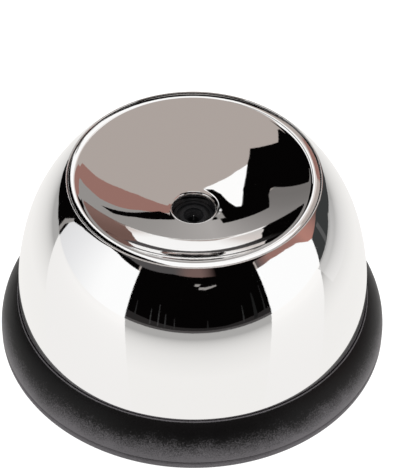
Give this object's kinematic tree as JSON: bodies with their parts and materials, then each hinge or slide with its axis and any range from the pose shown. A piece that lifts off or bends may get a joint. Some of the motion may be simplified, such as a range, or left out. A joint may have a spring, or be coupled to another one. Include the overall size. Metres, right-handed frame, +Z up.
{
  "type": "egg piercer",
  "caption": "Dome-shaped egg piercer with a sprung concave dish that presses down over a fixed needle, on a wide rubber base.",
  "frame": {"origin": "centre of the rubber base's underside, on the axis of the dome", "axes": "+Z up along the axis of the dome and the dish's travel; +Y points at one of the three screws, away from the pictured side"},
  "size_m": [0.064, 0.064, 0.0342],
  "materials": {
    "dome_chrome": "mirror-polished chromed steel",
    "dish_chrome": "mirror-polished chromed steel",
    "base_rubber": "satin moulded rubber with a fine grain",
    "plate_plastic": "fine-grained black ABS",
    "frame_plastic": "plain black ABS",
    "weight_steel": "zinc-plated turned steel",
    "screw_steel": "zinc-plated steel",
    "sole_foam": "fine-celled non-slip foam rubber",
    "tube_steel": "ground stainless steel",
    "holder_brass": "turned brass",
    "needle_steel": "ground hardened steel",
    "stop_rubber": "black rubber",
    "washer_steel": "stamped steel",
    "spring_steel": "drawn spring steel wire",
    "carrier_plastic": "black moulded ABS",
    "bush_plastic": "black acetal",
    "pad_felt": "dark felt"
  },
  "bodies": {
    "base": {"dome_shell": "dome_chrome", "rubber_base": "base_rubber", "base_plate": "plate_plastic", "inner_frame": "frame_plastic", "steel_weight": "weight_steel", "base_screws": "screw_steel", "sole_disc": "sole_foam", "guide_tube": "tube_steel", "needle_holder": "holder_brass", "needle": "needle_steel", "stop_ring": "stop_rubber", "lower_washer": "washer_steel", "return_spring": "spring_steel"},
    "plunger": {"egg_dish": "dish_chrome", "dish_carrier": "carrier_plastic", "needle_bush": "bush_plastic", "felt_pads": "pad_felt", "upper_washer": "washer_steel"}
  },
  "joints": [
    {"name": "dish_press", "type": "slide", "parent": "base", "child": "plunger", "axis": [0, 0, -1], "range_m": [0, 0.005], "stiffness_N_per_m": 1200, "springref_m": -0.0025, "deforming": ["return_spring"]}
  ]
}
